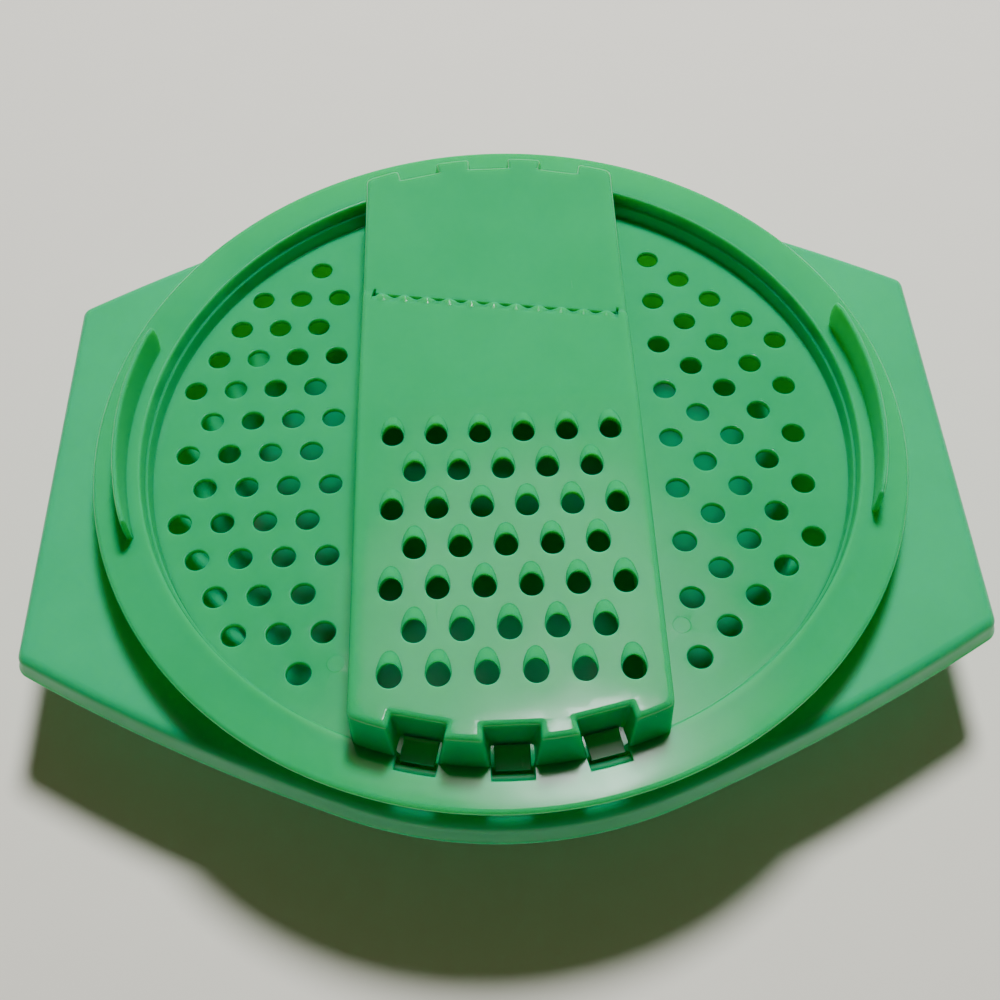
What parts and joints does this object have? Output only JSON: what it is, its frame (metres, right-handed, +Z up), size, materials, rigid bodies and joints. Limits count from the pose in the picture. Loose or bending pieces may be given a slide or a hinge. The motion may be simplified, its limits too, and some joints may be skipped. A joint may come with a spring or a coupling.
{
  "type": "grater and strainer bowl set",
  "caption": "Shallow plastic bowl with a winged flange, a perforated strainer disc that hangs in its collar, and a grater and slicer bridge clipped across the disc.",
  "frame": {"origin": "on the rest plane, below the middle of the bowl", "axes": "+X from the left wing to the right wing, +Y from the grater end to the slicer's run-in end, +Z up"},
  "size_m": [0.311, 0.272, 0.0772],
  "materials": {
    "bowl_plastic": "satin, fine-grained translucent green polypropylene",
    "disc_plastic": "glossy translucent green polypropylene",
    "bridge_plastic": "glossy translucent green polypropylene, lightly scratched"
  },
  "bodies": {
    "bowl": {"bowl": "bowl_plastic"},
    "disc": {"strainer_disc": "disc_plastic"},
    "bridge": {"grater_slicer_bridge": "bridge_plastic"}
  },
  "joints": [
    {"name": "disc_lift", "type": "slide", "parent": "bowl", "child": "disc", "axis": [0, 0, 1], "range_m": [0, 0.12]},
    {"name": "bridge_unclip", "type": "slide", "parent": "disc", "child": "bridge", "axis": [0, 0, 1], "range_m": [0, 0.06]}
  ]
}
